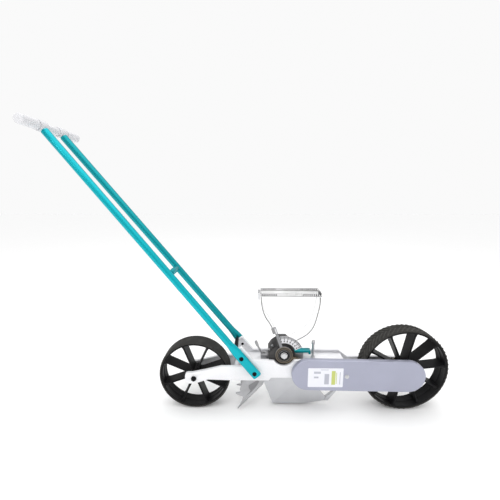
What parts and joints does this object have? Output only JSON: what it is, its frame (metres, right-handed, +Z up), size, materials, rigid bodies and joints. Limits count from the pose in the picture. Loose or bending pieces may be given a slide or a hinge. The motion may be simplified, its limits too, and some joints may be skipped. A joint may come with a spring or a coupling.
{
  "type": "push seeder",
  "caption": "Walk-behind seeder with two spoked wheels, a clear seed hopper, a furrow opener, a soil coverer and a long twin-tube handle.",
  "frame": {"origin": "middle of the footprint of the whole seeder, on the ground under the wheels", "axes": "+X forward, away from the operator; +Y away from the chain side; +Z up"},
  "size_m": [1.1556, 0.218, 0.8405],
  "materials": {
    "white_paint": "satin white powder coat",
    "teal_paint": "gloss teal powder coat",
    "lilac_paint": "satin lilac grey",
    "stainless": "plain stainless sheet",
    "bright_steel": "plain or plated steel",
    "black_steel": "black oxide",
    "black_plastic": "moulded black plastic",
    "tyre_rubber": "dull dark rubber",
    "grey_casting": "dark grey coated casting",
    "clear_plastic": "clear moulded plastic",
    "pale_plastic": "pale grey plastic",
    "nylon": "natural nylon",
    "brass": "machined brass",
    "label_face": null
  },
  "bodies": {
    "frame": {"frame_plate_near": "white_paint", "frame_plate_far": "white_paint", "rear_deck": "white_paint", "front_deck": "white_paint", "frame_spacer": "white_paint", "handle_tube_near": "teal_paint", "handle_bolt_near_upper": "black_steel", "handle_bolt_near_lower": "black_steel", "handle_tube_far": "teal_paint", "handle_bolt_far_upper": "black_steel", "handle_bolt_far_lower": "black_steel", "handle_crossbar": "teal_paint", "handle_tie_rod": "black_steel", "handlebar": "pale_plastic", "bar_socket_near": "pale_plastic", "grip_near": "pale_plastic", "bar_socket_far": "pale_plastic", "grip_far": "pale_plastic", "rear_axle": "black_steel", "front_bush_near": "brass", "front_bush_far": "brass", "idler_pin": "bright_steel", "chain": "bright_steel", "chain_cover": "lilac_paint", "cover_post": "bright_steel", "cover_screw": "bright_steel", "cover_label": "label_face", "roller_housing": "grey_casting", "scale_plate": "pale_plastic", "brush": "nylon", "seed_chute": "pale_plastic", "seed_unit_block": "bright_steel", "clamp_bracket": "teal_paint", "hopper": "clear_plastic", "lid_hinge": "pale_plastic", "latch_block": "bright_steel", "depth_nut": "bright_steel"},
    "front_wheel": {"front_tyre": "tyre_rubber", "front_rim": "black_plastic", "front_axle": "bright_steel", "front_sprocket": "bright_steel"},
    "rear_wheel": {"rear_tyre": "tyre_rubber", "rear_rim": "black_plastic"},
    "jackshaft": {"jackshaft": "bright_steel", "jackshaft_gear": "bright_steel", "rear_sprocket": "bright_steel"},
    "idler": {"idler_gear": "brass"},
    "roller": {"roller_gear": "bright_steel", "roller_shaft": "bright_steel", "seed_roller": "nylon", "roller_cap": "bright_steel"},
    "lid": {"hopper_lid": "clear_plastic"},
    "opener": {"furrow_opener": "stainless", "opener_shank": "bright_steel", "depth_bolt": "bright_steel", "coverer_pin": "bright_steel"},
    "claw_near": {"coverer_claw_near": "stainless"},
    "claw_far": {"coverer_claw_far": "stainless"},
    "latch": {"latch_lever": "bright_steel"},
    "brush_control": {"brush_lever": "grey_casting"}
  },
  "joints": [
    {"name": "front_wheel_spin", "type": "hinge", "parent": "frame", "child": "front_wheel", "pos_m": [0.44785, 0, 0.13], "axis": [0, 1, 0], "continuous": true},
    {"name": "rear_wheel_spin", "type": "hinge", "parent": "frame", "child": "rear_wheel", "pos_m": [-0.19015, 0, 0.109], "axis": [0, 1, 0], "continuous": true},
    {"name": "jackshaft_spin", "type": "hinge", "parent": "frame", "child": "jackshaft", "pos_m": [0.14885, 0, 0.134], "axis": [0, 1, 0], "continuous": true},
    {"name": "idler_spin", "type": "hinge", "parent": "frame", "child": "idler", "pos_m": [0.10932, 0, 0.15333], "axis": [0, 1, 0], "continuous": true},
    {"name": "roller_spin", "type": "hinge", "parent": "frame", "child": "roller", "pos_m": [0.07985, 0, 0.186], "axis": [0, 1, 0], "continuous": true},
    {"name": "lid_hinge", "type": "hinge", "parent": "frame", "child": "lid", "pos_m": [0.00585, 0, 0.3673], "axis": [0, -1, 0], "range_deg": [0, 110]},
    {"name": "opener_slide", "type": "slide", "parent": "frame", "child": "opener", "axis": [0, 0, 1], "range_m": [-0.03, 0]},
    {"name": "claw_near_swing", "type": "hinge", "parent": "opener", "child": "claw_near", "pos_m": [0.03185, 0, 0.095], "axis": [0, 1, 0], "range_deg": [0, 35]},
    {"name": "claw_far_swing", "type": "hinge", "parent": "opener", "child": "claw_far", "pos_m": [0.03185, 0, 0.095], "axis": [0, 1, 0], "range_deg": [0, 35]},
    {"name": "latch_turn", "type": "hinge", "parent": "frame", "child": "latch", "pos_m": [0.01785, 0, 0.166], "axis": [0, -1, 0], "range_deg": [0, 40]},
    {"name": "brush_lever_turn", "type": "hinge", "parent": "frame", "child": "brush_control", "pos_m": [0.07985, 0, 0.186], "axis": [0, 1, 0], "range_deg": [0, 55]}
  ],
  "couplings": [
    {"joint": "jackshaft_spin", "follows": "front_wheel_spin", "ratio": 1.2727},
    {"joint": "idler_spin", "follows": "front_wheel_spin", "ratio": -1.2727},
    {"joint": "roller_spin", "follows": "front_wheel_spin", "ratio": 1.2727}
  ]
}
